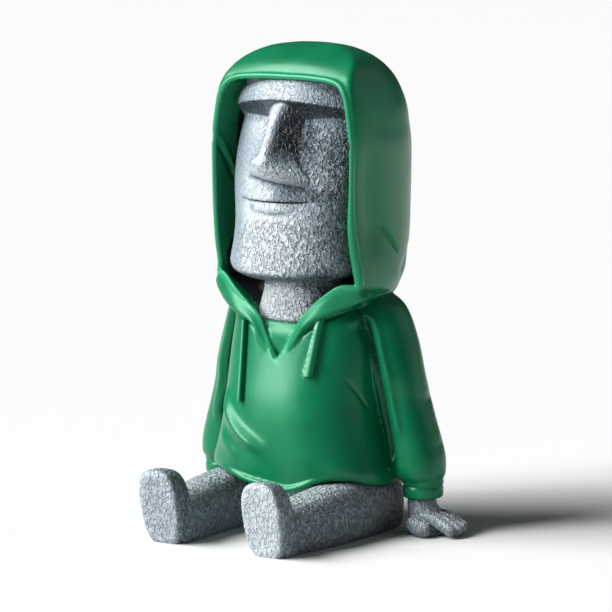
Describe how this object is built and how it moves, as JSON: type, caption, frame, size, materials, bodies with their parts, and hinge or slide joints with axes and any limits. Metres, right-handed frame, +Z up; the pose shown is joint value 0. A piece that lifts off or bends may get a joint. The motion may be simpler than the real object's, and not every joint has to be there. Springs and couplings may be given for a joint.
{
  "type": "moai head statue",
  "caption": "Cast-resin ornament of a moai in a green hooded sweatshirt with the hood up, sitting with its stone legs straight out and its palms flat on the ground.",
  "frame": {"origin": "centre of the footprint, on the plane the figure sits on", "axes": "+Z up along the figure's height, -Y the way it faces, +X towards its left hand"},
  "size_m": [0.1402, 0.1224, 0.205],
  "materials": {
    "painted_resin": "satin hand-painted resin: green clothing, dry-brushed slate grey stone"
  },
  "bodies": {
    "root": {"hooded_moai_figure": "painted_resin"}
  },
  "joints": []
}
